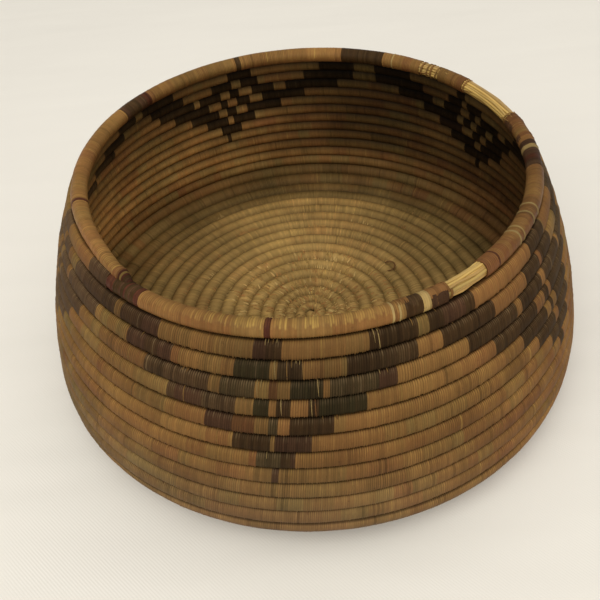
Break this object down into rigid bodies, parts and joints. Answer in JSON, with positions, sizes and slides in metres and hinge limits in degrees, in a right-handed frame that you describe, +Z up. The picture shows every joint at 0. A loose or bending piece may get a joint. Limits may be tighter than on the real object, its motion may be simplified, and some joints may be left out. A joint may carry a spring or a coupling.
{
  "type": "coiled basket",
  "caption": "Round open coiled basket of bound grass cord, with a flat floor, a bulging wall that leans in to a worn rim, and a dark stepped zigzag pattern.",
  "frame": {"origin": "on the basket's axis, at the height of the surface that it stands on", "axes": "+Z up along the axis and out of the mouth; +X to the right and -Y towards the viewer in the picture"},
  "size_m": [0.2491, 0.2492, 0.1037],
  "materials": {
    "tan": "matte split plant fibre",
    "olive": "matte split plant fibre",
    "brown": "matte split plant fibre",
    "dark": "matte split plant fibre",
    "red": "matte split plant fibre",
    "pale": "matte split plant fibre",
    "straw": "matte split plant fibre"
  },
  "bodies": {
    "root": {"start_knot": "straw", "floor_coil": "olive", "heel_coil": "brown", "belly_coil": "brown", "shoulder_coil": "tan", "neck_coil": "tan", "rim_core": "straw", "rim_wrap_dark_left_front": "dark", "rim_wrap_tan_front_left": "tan", "rim_tick_front": "dark", "rim_wrap_tan_front_right": "tan", "rim_wrap_dark_right_front": "dark", "rim_binding_pale_right_front": "pale", "rim_wrap_dark_right_front_end": "dark", "rim_wrap_tan_right_front": "tan", "rim_wrap_dark_right": "red", "rim_wrap_tan_right": "tan", "rim_wrap_tan_back_right": "tan", "rim_wrap_tan_back": "tan", "rim_wrap_dark_back": "dark", "rim_wrap_tan_back_left": "tan", "rim_tick_back_left": "dark", "rim_wrap_tan_left_back": "tan", "rim_wrap_dark_back_left": "dark", "rim_wrap_tan_left": "tan", "rim_tick_left": "red", "rim_wrap_tan_tail": "tan"}
  },
  "joints": []
}
